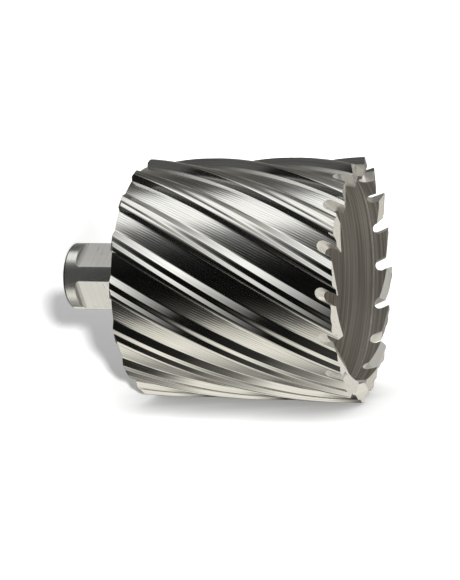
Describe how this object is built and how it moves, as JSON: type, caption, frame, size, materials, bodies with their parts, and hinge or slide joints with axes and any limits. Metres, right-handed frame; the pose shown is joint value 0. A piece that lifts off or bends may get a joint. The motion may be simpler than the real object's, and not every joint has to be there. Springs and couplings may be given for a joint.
{
  "type": "annular cutter",
  "caption": "Hollow hole cutter with helical lands around a deep cup, slotted teeth at its open end and a round shank with two locking flats.",
  "frame": {"origin": "centre of the shank's end face, which the cutter stands on", "axes": "+Z along the axis from the shank to the teeth; +X is the outward normal of one locking flat and -Y that of the other"},
  "size_m": [0.112, 0.112, 0.144],
  "materials": {
    "ground_steel": "ground bright, with fine lines along the flutes and turning lines in the cup"
  },
  "bodies": {
    "root": {"cutter_body": "ground_steel"}
  },
  "joints": []
}
